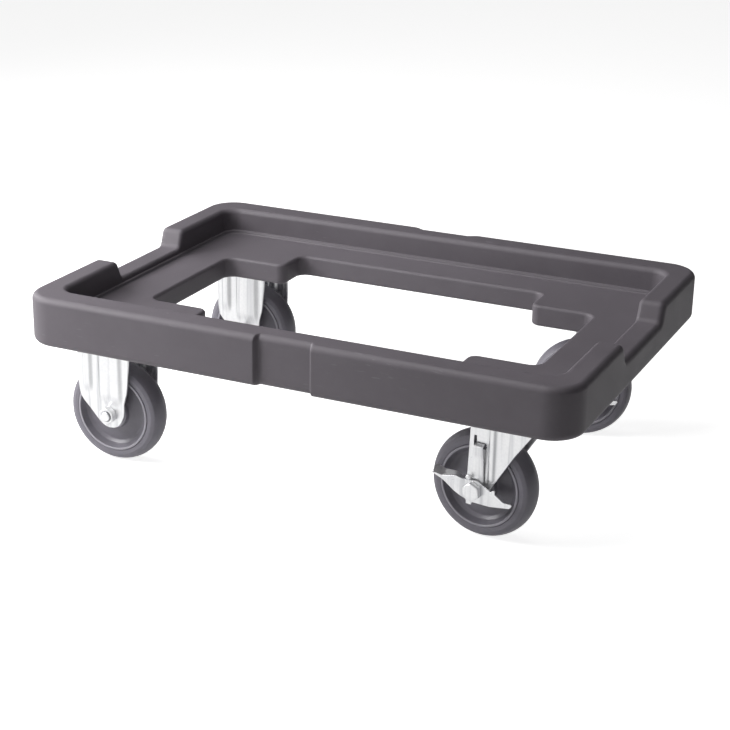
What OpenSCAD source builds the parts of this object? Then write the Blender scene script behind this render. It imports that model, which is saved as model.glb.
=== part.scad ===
// Low moulded-plastic dolly: an open ring frame with a raised rim,
// two rigid casters at the left end and two braked swivel casters at the right end.
// X runs along the long side, Y from front to rear, Z up, with the floor at Z = 0.

/* [Deck frame] */
// Outside length of the frame
frame_l = 690; // [620:5:820]
// Outside width of the frame
frame_w = 490; // [440:5:620]
// Thickness of the deck, from its underside to its top
deck_t = 27; // [24:1:34]
// Height of the rim above the deck
rim_h = 34; // [26:1:44]
// Outer corner radius in plan
corner_r = 39; // [34:1:48]
// Thickness of the rim along the two long sides
rim_t_long = 39; // [34:0.5:44]
// Thickness of the rim along the two short sides
rim_t_short = 32.5; // [28:0.5:38]
// Inner corner radius of the tray in plan
tray_r = 21; // [15:1:24]
// Width of the small step where the rim meets the deck
foot_step_w = 2.5; // [1.5:0.5:4]
// Height of the small step where the rim meets the deck
foot_step_h = 4; // [2:0.5:6]
// Skin thickness of the hollow moulding
skin_t = 6; // [4.5:0.5:7]

/* [Rim notches and grips] */
// Height of the lip left above the deck in each end notch
lip_h = 11; // [9:0.5:14]
// Half length of an end notch at the lip
notch_half = 70; // [55:1:85]
// Run of the sloped end of a notch
notch_run = 9; // [6:1:14]
// Length of the shallow recess in each long side
recess_l = 71; // [50:1:90]
// Depth of the shallow recess in each long side
recess_d = 6.5; // [4:0.5:8]
// Shift of the front recess towards the swivel end
recess_shift = 5; // [0:1:10]

/* [Opening] */
// Length of the central opening
opening_l = 508; // [440:2:520]
// Width of the central opening between the long rails
opening_w = 300; // [250:2:310]
// Length of a corner pad that juts into the opening
pad_l = 83; // [60:1:100]
// Reach of a corner pad into the opening
pad_reach = 51.5; // [35:0.5:60]
// Corner radius of the opening and of its pads
opening_r = 13; // [8:1:18]

/* [Caster places] */
// Distance of each caster mounting centre from the middle, along the length
caster_x = 257; // [225:1:265]
// Distance of each caster mounting centre from the middle, across the width
caster_y = 172; // [150:1:180]
// Mounting height of the casters, floor to frame
caster_h = 157; // [154:0.5:162]
// Turn of the front swivel caster at rest, in degrees
yaw_front = -7; // [-20:1:20]
// Turn of the rear swivel caster at rest, in degrees
yaw_rear = 14; // [-20:1:20]
// Trail of the swivel casters, kingpin axis to wheel axle
trail = 35; // [30:1:38]

/* [Mounting plate] */
// Length of a mounting plate
plate_l = 104; // [98:1:116]
// Thickness of the pressed steel sheet
sheet_t = 3; // [2.5:0.1:3.5]
// Hole spacing of a mounting plate along its length
hole_dx = 80; // [74:1:84]
// Gap between a mounting washer and the fork leg beside it
washer_leg_gap = 1.4; // [0.6:0.2:4]
// Margin of a mounting plate beyond its washers, across its width
washer_margin = 2.4; // [1:0.2:6]
// Diameter of the mounting bolts
mount_bolt_d = 8; // [6:0.5:9]
// Length of a mounting bolt under its head
mount_bolt_len = 22; // [16:1:24]

/* [Wheel] */
// Diameter of the wheel over the tyre
wheel_d = 127; // [120:1:130]
// Width of the tyre
tyre_w = 32; // [28:1:34]
// Radial thickness of the tyre
tyre_t = 14.5; // [12:0.5:17]
// Radius of the crown across the tread
crown_r = 24; // [20:1:30]
// Width of the hub over its faces
hub_w = 36; // [34:1:38]
// Outside diameter of the hub
hub_d = 38; // [36:1:44]
// Diameter of the axle bolt
axle_d = 12; // [10:0.5:12]
// Wall of the axle tube that the rollers run on
tube_wall = 1.9; // [1.5:0.1:2.4]
// Diameter of a bearing roller
roller_d = 4; // [3:0.5:4.5]
// Number of rollers in a wheel
roller_n = 15; // [12:1:15]

/* [Forks] */
// Gap between the two legs of a fork
fork_gap = 40; // [39:0.5:46]
// Reach of a rigid leg from the axle towards the end of the dolly
rigid_reach_out = 43.5; // [38:0.5:46]
// Reach of a rigid leg from the axle towards the middle of the dolly
rigid_reach_in = 29; // [26:0.5:34]
// Radius of a rigid leg's foot round the axle
rigid_foot_r = 17; // [16:0.5:20]
// Radius of a swivel leg's foot round the axle
swivel_foot_r = 14; // [13:0.5:16]
// Height of the pressed ribs
rib_h = 2.5; // [1.5:0.1:2.8]
// Width of the wide pressed panel on a rigid leg
panel_w = 26; // [20:1:30]
// Radius of the swivel fork's crown
crown_disc_r = 35; // [32:1:38]

/* [Swivel bearing] */
// Diameter of the upper balls
upper_ball_d = 8; // [7:0.5:8]
// Number of upper balls
upper_ball_n = 17; // [12:1:17]
// Diameter of the lower balls
lower_ball_d = 6; // [5:0.5:6]
// Number of lower balls
lower_ball_n = 13; // [10:1:13]
// Diameter of the kingpin
kingpin_d = 12; // [10:0.5:13]

/* [Brake] */
// Thickness of the pedal sheet
pedal_t = 2; // [1.5:0.1:2.5]
// Depth of the folded tread on the pedal
tread_depth = 9; // [6:0.5:9]
// Thickness of the brake strap
strap_t = 1.5; // [1.2:0.1:1.8]
// Width of the brake strap
strap_w = 12; // [10:0.5:13]
// Height of the strap's hook above the axle
hook_h = 51; // [44:0.5:53]
// Lean of the strap away from the leg when the brake is off, in degrees
strap_lean = 3; // [2:0.1:3.2]

/* [Hidden] */
$fn = 64;

// Finishes
plastic_grey = [0.42, 0.40, 0.42];
zinc = [0.86, 0.87, 0.88];
rubber_grey = [0.36, 0.35, 0.37];
core_grey = [0.44, 0.43, 0.45];
seal_black = [0.12, 0.12, 0.13];
brass = [0.80, 0.66, 0.36];

// Running clearance of a shaft in its bore, clearance of pieces that only pass, and cutter overrun
running = 0.05;
apart = 0.3;
over = 1;

// Heights of the frame
under_z = caster_h;
deck_z = under_z + deck_t;
rim_z = deck_z + rim_h;
lip_z = deck_z + lip_h;

// Threaded insert and mounting bolt
insert_d = mount_bolt_d + 5;
insert_len = min(mount_bolt_len, deck_t - skin_t);
boss_d = insert_d + 12;
mount_head_af = mount_bolt_d * 1.625;
mount_head_h = mount_bolt_d * 0.66;
washer_t = 1.6;
washer_d = mount_bolt_d * 1.65;
hole_dy = fork_gap + 2 * sheet_t + washer_d + 2 * washer_leg_gap;
plate_w = hole_dy + washer_d + 2 * washer_margin;
plate_corner_r = 8;
plate_under_z = caster_h - sheet_t;

// Wheel
wheel_r = wheel_d / 2;
core_r = wheel_r - tyre_t;
tube_r = axle_d / 2 + running * 2 + tube_wall;
roller_ring_r = tube_r + running + roller_d / 2;
hub_bore_r = roller_ring_r + roller_d / 2 + running;
rim_edge_half = tyre_w / 2 + 0.4;
tube_len = fork_gap - 2 * apart;
hub_washer_t = (fork_gap - hub_w) / 2 - 2 * apart;

// Axle bolt
axle_head_af = axle_d * 1.58;
axle_head_h = axle_d * 0.62;
axle_nut_h = axle_d * 0.67;
axle_tail = 2.2;
leg_out = fork_gap / 2 + sheet_t;

// Where the ribs of the rigid legs end, above the axle, and the width of the narrow one
panel_foot_z = 20;
side_rib_foot_z = 28;
side_rib_w = 8;

// Swivel bearing, from the plate down
crown_top_z = plate_under_z - upper_ball_d - 2 * running;
crown_under_z = crown_top_z - sheet_t;
cap_top_z = crown_under_z - lower_ball_d - 2 * running;
cap_under_z = cap_top_z - sheet_t;
pin_head_h = 3;
upper_ring_r = 24;
lower_ring_r = 13.5;
cap_r = fork_gap / 2 - 1;
dust_ring_r = upper_ring_r + upper_ball_d / 2 + 3.5;

// Brake, measured outwards from the wheel's middle plane and upwards from the axle
strap_off = leg_out + 1;
collar_off = strap_off + strap_t + 0.9;
collar_len = 1.6;
collar_r = 9;
pedal_off = collar_off + collar_len;
pedal_out = pedal_off + pedal_t;
strap_lug_r = 10.5;
strap_u = 3.8;
hook_in = strap_off - fork_gap / 2 + 2.3;
slot_left_u = strap_u - strap_w / 2 - 2.4;

// ---------- places ----------

module at_rigid(side) {
    translate([-caster_x, side * caster_y, 0]) children();
}

module at_swivel(side) {
    translate([caster_x, side * caster_y, 0])
        rotate([0, 0, side < 0 ? yaw_front : yaw_rear])
            children();
}

// The wheel's own place: its middle on the axle, its axis along Y
module at_wheel(swivels) {
    translate([swivels ? -trail : 0, 0, wheel_r]) children();
}

module at_caster(side, swivels) {
    if (swivels) at_swivel(side) at_wheel(true) children();
    else at_rigid(side) at_wheel(false) children();
}

module at_mount_holes() {
    for (end_sign = [-1, 1], side_sign = [-1, 1], dx = [-0.5, 0.5], dy = [-0.5, 0.5])
        translate([end_sign * caster_x + dx * hole_dx, side_sign * caster_y + dy * hole_dy, 0])
            children();
}

// ---------- plain shapes ----------

module rounded_rect(l, w, r) {
    square([l - 2 * r, w], center = true);
    square([l, w - 2 * r], center = true);
    for (sx = [-1, 1], sy = [-1, 1])
        translate([sx * (l / 2 - r), sy * (w / 2 - r)]) circle(r);
}

// A cylinder along Y from y0 to y1
module y_rod(y0, y1, r) {
    translate([0, y1, 0]) rotate([90, 0, 0]) cylinder(h = y1 - y0, r = r);
}

// A hexagonal prism along Y from y0 to y1, across flats af
module y_hex(y0, y1, af) {
    translate([0, y1, 0]) rotate([90, 30, 0]) cylinder(h = y1 - y0, d = af / cos(30), $fn = 6);
}

// A flat outline in X and Z, with thickness from y0 to y1
module y_sheet(y0, y1) {
    translate([0, y1, 0]) rotate([90, 0, 0]) linear_extrude(y1 - y0) children();
}

// ---------- deck frame ----------

module frame_outline(inset) {
    rounded_rect(frame_l - 2 * inset, frame_w - 2 * inset, corner_r - inset);
}

module tray_outline(inset) {
    rounded_rect(
        frame_l - 2 * (rim_t_short + inset),
        frame_w - 2 * (rim_t_long + inset),
        tray_r - inset
    );
}

module pad_corner(grow) {
    r = opening_r - grow;
    translate([opening_l / 2 - pad_l + grow, opening_w / 2 - pad_reach + grow])
        difference() {
            translate([-over, -over]) square([r + over, r + over]);
            translate([r, r]) circle(r);
        }
}

module opening_outline(grow) {
    rounded_rect(opening_l + 2 * grow, opening_w - 2 * pad_reach + 2 * grow, opening_r + grow);
    rounded_rect(opening_l - 2 * pad_l + 2 * grow, opening_w + 2 * grow, opening_r + grow);
    for (mx = [0, 1], my = [0, 1])
        mirror([mx, 0]) mirror([0, my]) pad_corner(grow);
}

// The two end notches, cut right across the rim, wider by grow
module end_notches(grow) {
    half = notch_half - grow;
    run = notch_run * (rim_z - lip_z + 2 * over) / (rim_z - lip_z);
    translate([-frame_l / 2 - over, 0, lip_z - grow])
        rotate([90, 0, 90])
            linear_extrude(frame_l + 2 * over)
                polygon([
                    [-half - 2 * grow, 0],
                    [half + 2 * grow, 0],
                    [half + 2 * grow + run, rim_z - lip_z + 2 * over],
                    [-half - 2 * grow - run, rim_z - lip_z + 2 * over]
                ]);
}

// The shallow recesses in the long sides, grown by a skin for the inside
module side_recesses(grow) {
    for (side = [-1, 1])
        translate([
            (side < 0 ? recess_shift : 0) - recess_l / 2 - grow,
            side < 0 ? -frame_w / 2 - over : frame_w / 2 - recess_d - grow,
            under_z - over
        ])
            cube([recess_l + 2 * grow, recess_d + over + grow, deck_t + rim_h + 2 * over]);
}

module frame_cavity() {
    difference() {
        union() {
            translate([0, 0, under_z + skin_t])
                linear_extrude(deck_t - 2 * skin_t)
                    difference() {
                        frame_outline(skin_t);
                        opening_outline(skin_t);
                    }
            translate([0, 0, under_z + skin_t])
                linear_extrude(deck_t + rim_h - 2 * skin_t)
                    difference() {
                        frame_outline(skin_t);
                        tray_outline(-skin_t);
                    }
        }
        end_notches(skin_t);
        side_recesses(skin_t);
        at_mount_holes()
            translate([0, 0, under_z]) cylinder(h = deck_t, d = boss_d);
    }
}

module deck_frame() {
    color(plastic_grey)
        difference() {
            translate([0, 0, under_z])
                linear_extrude(deck_t + rim_h) frame_outline(0);
            translate([0, 0, deck_z + foot_step_h])
                linear_extrude(rim_h) tray_outline(0);
            translate([0, 0, deck_z])
                linear_extrude(rim_h) tray_outline(foot_step_w);
            translate([0, 0, under_z - over])
                linear_extrude(deck_t + 2 * over) opening_outline(0);
            end_notches(0);
            side_recesses(0);
            frame_cavity();
            at_mount_holes()
                translate([0, 0, under_z - over])
                    cylinder(h = insert_len + over + apart, r = insert_d / 2 + running);
        }
}

module threaded_inserts() {
    color(brass)
        at_mount_holes()
            translate([0, 0, under_z + running])
                difference() {
                    cylinder(h = insert_len, d = insert_d);
                    translate([0, 0, -over])
                        cylinder(h = insert_len + 2 * over, r = mount_bolt_d / 2 + running);
                }
}

module mount_bolts() {
    color(zinc)
        at_mount_holes() {
            translate([0, 0, plate_under_z - washer_t])
                cylinder(h = mount_bolt_len, d = mount_bolt_d);
            translate([0, 0, plate_under_z - washer_t - mount_head_h])
                cylinder(h = mount_head_h, d = mount_head_af / cos(30), $fn = 6);
        }
}

module mount_washers() {
    color(zinc)
        at_mount_holes()
            translate([0, 0, plate_under_z - washer_t])
                difference() {
                    cylinder(h = washer_t, d = washer_d);
                    translate([0, 0, -over])
                        cylinder(h = washer_t + 2 * over, r = mount_bolt_d / 2 + running);
                }
}

// ---------- parts common to all four casters ----------

module mounting_plate() {
    translate([0, 0, plate_under_z])
        linear_extrude(sheet_t)
            difference() {
                rounded_rect(plate_l, plate_w, plate_corner_r);
                for (dx = [-0.5, 0.5], dy = [-0.5, 0.5])
                    translate([dx * hole_dx, dy * hole_dy]) circle(mount_bolt_d / 2 + apart);
            }
}

module axle_bore() {
    y_rod(-fork_gap, fork_gap, axle_d / 2 + running);
}

// head_out is how far out from the middle plane the head sits; front is -1 where the head faces front
module axle_bolt(front, head_out) {
    color(zinc)
        mirror([0, front < 0 ? 0 : 1, 0]) {
            y_hex(-head_out - axle_head_h, -head_out, axle_head_af);
            y_rod(-head_out, leg_out + axle_nut_h + axle_tail, axle_d / 2);
        }
}

module axle_nut(front) {
    color(zinc)
        mirror([0, front < 0 ? 0 : 1, 0])
            difference() {
                y_hex(leg_out, leg_out + axle_nut_h, axle_head_af);
                y_rod(leg_out - over, leg_out + axle_nut_h + over, axle_d / 2 + running);
            }
}

module axle_tube() {
    color(zinc)
        difference() {
            y_rod(-tube_len / 2, tube_len / 2, tube_r);
            y_rod(-tube_len, tube_len, axle_d / 2 + 2 * running);
        }
}

module hub_washers() {
    color(zinc)
        for (side = [0, 1])
            mirror([0, side, 0])
                difference() {
                    y_rod(hub_w / 2 + apart, hub_w / 2 + apart + hub_washer_t, hub_d / 2 - 3);
                    y_rod(hub_w / 2, fork_gap / 2, tube_r + running);
                }
}

module wheel_rollers() {
    color(zinc)
        for (i = [0 : roller_n - 1])
            rotate([0, i * 360 / roller_n, 0])
                translate([roller_ring_r, 0, 0])
                    y_rod(-hub_w / 2 + 2, hub_w / 2 - 2, roller_d / 2);
}

// Half section of the wheel core: hub, dished web, sloped rim and the raised rim edge
module core_section() {
    web_r = core_r - 10;
    polygon([
        [hub_bore_r, -hub_w / 2],
        [hub_d / 2 - 3, -hub_w / 2],
        [hub_d / 2, -hub_w / 2 + 4],
        [hub_d / 2 + 3, -7],
        [web_r, -5],
        [core_r - 4, -tyre_w / 2 + 1.5],
        [core_r - 2, -rim_edge_half],
        [core_r - 0.6, -rim_edge_half],
        [core_r, -tyre_w / 2 + 0.4],
        [core_r, tyre_w / 2 - 0.4],
        [core_r - 0.6, rim_edge_half],
        [core_r - 2, rim_edge_half],
        [core_r - 4, tyre_w / 2 - 1.5],
        [web_r, 5],
        [hub_d / 2 + 3, 7],
        [hub_d / 2, hub_w / 2 - 4],
        [hub_d / 2 - 3, hub_w / 2],
        [hub_bore_r, hub_w / 2]
    ]);
}

module wheel_core() {
    color(core_grey) rotate([90, 0, 0]) rotate_extrude() core_section();
}

// The tyre's section is a band whose outer edge is an arc across the tread
module tyre() {
    color(rubber_grey)
        rotate([90, 0, 0])
            rotate_extrude()
                intersection() {
                    translate([core_r + running, -tyre_w / 2]) square([tyre_t, tyre_w]);
                    translate([wheel_r - crown_r, 0]) circle(crown_r);
                }
}

// ---------- rigid caster ----------

// Outline of a rigid leg in X and Z about the axle
module rigid_leg_outline() {
    top = plate_under_z - wheel_r + over;
    difference() {
        union() {
            circle(rigid_foot_r);
            polygon([
                [-rigid_reach_out, top],
                [-rigid_reach_out, 26],
                [-rigid_reach_out + 4, 16],
                [-rigid_foot_r * 0.72, -rigid_foot_r * 0.69],
                [rigid_foot_r, 0],
                [rigid_reach_in - 3.5, 32],
                [rigid_reach_in, top]
            ]);
        }
        circle(axle_d / 2 + running);
    }
}

// The two legs are the same pressing, one turned half way round from the other
module rigid_fork() {
    rib_top = plate_under_z - wheel_r + over;
    color(zinc) {
        mounting_plate();
        at_wheel(false)
            for (turn = [0, 180])
                rotate([0, 0, turn]) mirror([0, 1, 0]) {
                    y_sheet(fork_gap / 2, leg_out) rigid_leg_outline();
                    y_sheet(leg_out - over, leg_out + rib_h)
                        translate([3 - panel_w / 2, panel_foot_z])
                            square([panel_w, rib_top - panel_foot_z]);
                    y_sheet(leg_out - over, leg_out + rib_h)
                        translate([-33, side_rib_foot_z])
                            square([side_rib_w, rib_top - side_rib_foot_z]);
                }
    }
}

// ---------- swivel caster ----------

module swivel_plate() {
    color(zinc)
        difference() {
            mounting_plate();
            translate([0, 0, plate_under_z - over])
                cylinder(h = sheet_t + 2 * over, r = kingpin_d / 2 + running);
        }
}

module kingpin() {
    color(zinc) {
        translate([0, 0, cap_under_z]) cylinder(h = caster_h - apart - cap_under_z, d = kingpin_d);
        translate([0, 0, cap_under_z - pin_head_h]) cylinder(h = pin_head_h, r = kingpin_d / 2 + 4);
    }
}

module race_cap() {
    color(zinc)
        difference() {
            translate([0, 0, cap_under_z]) cylinder(h = sheet_t + 3, r = cap_r);
            translate([0, 0, cap_top_z]) cylinder(h = sheet_t + 3, r = cap_r - 1.5);
            translate([0, 0, cap_under_z - over])
                cylinder(h = sheet_t + 2 * over, r = kingpin_d / 2 + running);
        }
}

module ball_ring(n, d, ring_r, z) {
    color(zinc)
        for (i = [0 : n - 1])
            rotate([0, 0, i * 360 / n])
                translate([ring_r, 0, z]) sphere(d = d);
}

module upper_balls() {
    ball_ring(upper_ball_n, upper_ball_d, upper_ring_r, crown_top_z + running + upper_ball_d / 2);
}

module lower_balls() {
    ball_ring(lower_ball_n, lower_ball_d, lower_ring_r, cap_top_z + running + lower_ball_d / 2);
}

// Outline of a swivel leg in X and Z about the axle
module swivel_leg_outline() {
    top = crown_top_z - wheel_r - over;
    difference() {
        union() {
            circle(swivel_foot_r);
            polygon([
                [-12, top],
                [-12, 0],
                [swivel_foot_r, 0],
                [20, 6],
                [46, 49],
                [trail + 31, 76],
                [trail + 31, top]
            ]);
        }
        circle(axle_d / 2 + running);
    }
}

// Slot in the braked leg that the strap's hook passes through
module hook_slot() {
    translate([slot_left_u, hook_h - 1.5])
        square([strap_w + 3.4, strap_t + 4]);
    translate([slot_left_u, hook_h - 1.5]) square([2.8, 14.5]);
}

module swivel_fork() {
    color(zinc) {
        translate([0, 0, crown_under_z])
            linear_extrude(sheet_t)
                difference() {
                    union() {
                        circle(crown_disc_r);
                        translate([-trail - 12, -leg_out]) square([trail + 12 + 31, 2 * leg_out]);
                    }
                    circle(kingpin_d / 2 + 1.5);
                }
        at_wheel(true) {
            difference() {
                y_sheet(-leg_out, -fork_gap / 2) swivel_leg_outline();
                y_sheet(-leg_out - over, -fork_gap / 2 + over) hook_slot();
            }
            y_sheet(fork_gap / 2, leg_out) swivel_leg_outline();
            for (side = [0, 1])
                mirror([0, side, 0])
                    y_sheet(leg_out - over, leg_out + rib_h)
                        polygon([[14, 14], [20.5, 14], [20.5, crown_top_z - wheel_r - over],
                            [14, crown_top_z - wheel_r - over]]);
        }
    }
}

module dust_ring() {
    color(seal_black)
        translate([0, 0, crown_top_z + running])
            difference() {
                cylinder(h = upper_ball_d - apart, r = dust_ring_r);
                translate([0, 0, -over])
                    cylinder(h = upper_ball_d + 2 * over, r = dust_ring_r - 2.5);
            }
}

// Outline of the two-winged pedal in X and Z about the axle, brake off
module pedal_outline() {
    difference() {
        polygon([
            [-53, 9], [-51, 12], [-38, 11], [-23, 13], [-13, 12],
            [4, 13], [12.5, 8], [21.5, 3], [26.5, 4], [38, -5],
            [48, -6.5], [45, -11], [20.5, -14.5], [-2, -15], [-17, -10], [-38, 3]
        ]);
        circle(axle_d / 2 + running);
    }
}

module brake_pedal() {
    color(zinc) {
        y_sheet(-pedal_out, -pedal_off) pedal_outline();
        difference() {
            y_rod(-pedal_off, -collar_off, collar_r);
            axle_bore();
        }
        translate([-50, -pedal_off - over, 9.6]) cube([26, tread_depth + over, pedal_t]);
    }
}

// The strap leans away from the leg, and swings in by the same angle as the brake goes on
module brake_strap() {
    color(zinc)
        translate([0, -strap_off - strap_t / 2, 0])
            rotate([strap_lean, 0, 0]) {
                difference() {
                    y_sheet(-strap_t / 2, strap_t / 2) {
                        circle(strap_lug_r);
                        translate([strap_u - strap_w / 2, 0]) square([strap_w, hook_h + strap_t]);
                    }
                    y_rod(-strap_t, strap_t, axle_d / 2 + apart + 0.1);
                }
                translate([strap_u - strap_w / 2, -strap_t / 2, hook_h])
                    cube([strap_w, strap_t + hook_in, strap_t]);
            }
}

// ---------- the assembly ----------

deck_frame();
threaded_inserts();
mount_bolts();
mount_washers();

at_rigid(-1) rigid_fork();  // rigid_fork_fl
at_caster(-1, false) axle_bolt(1, leg_out);  // axle_bolt_fl
at_caster(-1, false) axle_nut(1);  // axle_nut_fl
at_caster(-1, false) axle_tube();  // axle_tube_fl
at_caster(-1, false) hub_washers();  // hub_washers_fl
at_caster(-1, false) wheel_rollers();  // wheel_rollers_fl
at_caster(-1, false) wheel_core();  // wheel_core_fl
at_caster(-1, false) tyre();  // tyre_fl

at_rigid(1) rigid_fork();  // rigid_fork_rl
at_caster(1, false) axle_bolt(1, leg_out);  // axle_bolt_rl
at_caster(1, false) axle_nut(1);  // axle_nut_rl
at_caster(1, false) axle_tube();  // axle_tube_rl
at_caster(1, false) hub_washers();  // hub_washers_rl
at_caster(1, false) wheel_rollers();  // wheel_rollers_rl
at_caster(1, false) wheel_core();  // wheel_core_rl
at_caster(1, false) tyre();  // tyre_rl

translate([caster_x, -caster_y, 0]) swivel_plate();  // swivel_plate_fr
at_swivel(-1) kingpin();  // kingpin_fr
at_swivel(-1) race_cap();  // race_cap_fr
at_swivel(-1) upper_balls();  // upper_balls_fr
at_swivel(-1) lower_balls();  // lower_balls_fr
at_swivel(-1) swivel_fork();  // swivel_fork_fr
at_swivel(-1) dust_ring();  // dust_ring_fr
at_caster(-1, true) axle_bolt(-1, pedal_out + apart);  // axle_bolt_fr
at_caster(-1, true) axle_nut(-1);  // axle_nut_fr
at_caster(-1, true) axle_tube();  // axle_tube_fr
at_caster(-1, true) hub_washers();  // hub_washers_fr
at_caster(-1, true) wheel_rollers();  // wheel_rollers_fr
at_caster(-1, true) wheel_core();  // wheel_core_fr
at_caster(-1, true) tyre();  // tyre_fr
at_caster(-1, true) brake_pedal();  // brake_pedal_fr
at_caster(-1, true) brake_strap();  // brake_strap_fr

translate([caster_x, caster_y, 0]) swivel_plate();  // swivel_plate_rr
at_swivel(1) kingpin();  // kingpin_rr
at_swivel(1) race_cap();  // race_cap_rr
at_swivel(1) upper_balls();  // upper_balls_rr
at_swivel(1) lower_balls();  // lower_balls_rr
at_swivel(1) swivel_fork();  // swivel_fork_rr
at_swivel(1) dust_ring();  // dust_ring_rr
at_caster(1, true) axle_bolt(-1, pedal_out + apart);  // axle_bolt_rr
at_caster(1, true) axle_nut(-1);  // axle_nut_rr
at_caster(1, true) axle_tube();  // axle_tube_rr
at_caster(1, true) hub_washers();  // hub_washers_rr
at_caster(1, true) wheel_rollers();  // wheel_rollers_rr
at_caster(1, true) wheel_core();  // wheel_core_rr
at_caster(1, true) tyre();  // tyre_rr
at_caster(1, true) brake_pedal();  // brake_pedal_rr
at_caster(1, true) brake_strap();  // brake_strap_rr
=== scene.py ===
import math

import bmesh
import bpy
import numpy as np
from mathutils import Matrix, Vector


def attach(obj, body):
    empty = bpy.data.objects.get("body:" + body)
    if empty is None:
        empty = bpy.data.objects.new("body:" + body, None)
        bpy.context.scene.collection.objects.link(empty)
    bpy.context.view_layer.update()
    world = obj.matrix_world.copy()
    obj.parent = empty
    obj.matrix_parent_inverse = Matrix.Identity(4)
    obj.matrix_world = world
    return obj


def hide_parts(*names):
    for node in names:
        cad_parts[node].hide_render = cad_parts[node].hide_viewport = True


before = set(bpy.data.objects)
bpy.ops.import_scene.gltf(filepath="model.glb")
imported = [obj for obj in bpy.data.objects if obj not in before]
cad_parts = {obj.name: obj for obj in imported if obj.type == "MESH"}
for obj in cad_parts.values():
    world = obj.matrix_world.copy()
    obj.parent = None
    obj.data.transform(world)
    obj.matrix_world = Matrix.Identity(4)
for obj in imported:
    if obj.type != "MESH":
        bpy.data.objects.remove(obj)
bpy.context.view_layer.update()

# ---------------------------------------------------------------------------------------------
# Frame moulding: one hollow rotational moulding in grey polyethylene. A rounded outer wall turns
# over a wide rim, drops to the deck, and turns down again round the opening. The mould leaves a
# fine matt grain and every edge generously rounded.
# ---------------------------------------------------------------------------------------------
MM = 0.001
HALF_L, HALF_W, CORNER_R = 345.0, 245.0, 39.0
TRAY_L, TRAY_W, TRAY_R = 312.5, 206.0, 21.0
OPEN_L, OPEN_W, PAD_X, PAD_Y = 254.0, 150.0, 171.0, 98.5
OPEN_R, PAD_R, BAY_R = 14.0, 12.0, 13.0
UNDER_Z, DECK_Z, LIP_Z, RIM_Z, LEDGE_Z = 157.0, 184.0, 195.0, 218.0, 188.0
OUTER_EDGE_R, DECK_EDGE_R = 8.0, 4.0
LONG_INNER_R, SHORT_INNER_R, LIP_INNER_R = 7.0, 6.0, 4.5
NOTCH_LOW, NOTCH_HIGH, NOTCH_FOOT_R, NOTCH_TOP_R = 70.0, 79.0, 8.0, 9.0
RECESS_DEPTH = 6.5


def piece(name, verts, faces, smooth=True, weighted=True):
    """A mesh object from points in metres; its faces are turned outwards."""
    data = bpy.data.meshes.new(name)
    data.from_pydata([tuple(v) for v in verts], [], [tuple(f) for f in faces])
    work = bmesh.new()
    work.from_mesh(data)
    bmesh.ops.remove_doubles(work, verts=work.verts, dist=2e-6)
    bmesh.ops.dissolve_degenerate(work, edges=work.edges, dist=1e-6)
    bmesh.ops.recalc_face_normals(work, faces=work.faces)
    work.to_mesh(data)
    work.free()
    data.polygons.foreach_set("use_smooth", [smooth] * len(data.polygons))
    obj = bpy.data.objects.new(name, data)
    bpy.context.scene.collection.objects.link(obj)
    if weighted:
        normals = obj.modifiers.new("even_flats", "WEIGHTED_NORMAL")
        normals.weight = 100
        normals.keep_sharp = True
    return obj


def arc(cx, cy, r, a0, a1, n):
    """n points of an arc, from a0 degrees up to but not including a1."""
    a = np.radians(np.linspace(a0, a1, n, endpoint=False))
    return np.stack([cx + r * np.cos(a), cy + r * np.sin(a)], 1)


def run(x0, y0, x1, y1, n):
    """n points along a straight run, leaving its far end out."""
    t = np.linspace(0, 1, n, endpoint=False)[:, None]
    return np.array([[x0, y0]]) * (1 - t) + np.array([[x1, y1]]) * t


def outer_quarter(inset):
    x, y, r = HALF_L - inset, HALF_W - inset, CORNER_R - inset
    cx, cy = HALF_L - CORNER_R, HALF_W - CORNER_R
    return np.concatenate([
        run(x, 0, x, 60, 10), run(x, 60, x, 90, 50), run(x, 90, x, 104, 10), run(x, 104, x, cy, 8),
        arc(cx, cy, r, 0, 90, 28),
        run(cx, y, 200, y, 12), run(200, y, 60, y, 10), run(60, y, 0, y, 84), [[0, y]],
    ])


def tray_quarter(outset):
    x, y, r = TRAY_L + outset, TRAY_W + outset, TRAY_R + outset
    cx, cy = TRAY_L - TRAY_R, TRAY_W - TRAY_R
    return np.concatenate([
        run(x, 0, x, 60, 10), run(x, 60, x, 90, 50), run(x, 90, x, 104, 10), run(x, 104, x, cy, 8),
        arc(cx, cy, r, 0, 90, 28),
        run(cx, y, 200, y, 12), run(200, y, 60, y, 10), run(60, y, 0, y, 84), [[0, y]],
    ])


def opening_quarter(outset):
    x, y = OPEN_L + outset, OPEN_W + outset
    px, py = PAD_X + outset, PAD_Y + outset
    end_x, end_y = OPEN_L - OPEN_R, PAD_Y - OPEN_R
    bay_x, bay_y = PAD_X - BAY_R, OPEN_W - BAY_R
    return np.concatenate([
        run(x, 0, x, end_y * 60 / 90, 10), run(x, end_y * 60 / 90, x, end_y, 50),
        arc(end_x, end_y, OPEN_R + outset, 0, 90, 10), run(end_x, py, 215, py, 8),
        run(215, py, PAD_X + PAD_R, py, 8),
        arc(PAD_X + PAD_R, PAD_Y + PAD_R, PAD_R - outset, 270, 180, 12),
        run(px, PAD_Y + PAD_R, px, 125, 8),
        run(px, 125, px, bay_y, 2), arc(bay_x, bay_y, BAY_R + outset, 0, 90, 10),
        run(bay_x, y, 60, y, 10), run(60, y, 0, y, 84), [[0, y]],
    ])


def all_round(quarter):
    """A closed plan line from its first quarter, by mirroring."""
    back = quarter[:0:-1]
    return np.concatenate([
        quarter[:-1], back * [-1, 1], quarter[:-1] * [-1, -1], back * [1, -1],
    ])


def all_round_value(quarter):
    back = quarter[:0:-1]
    return np.concatenate([quarter[:-1], back, quarter[:-1], back])


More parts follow.
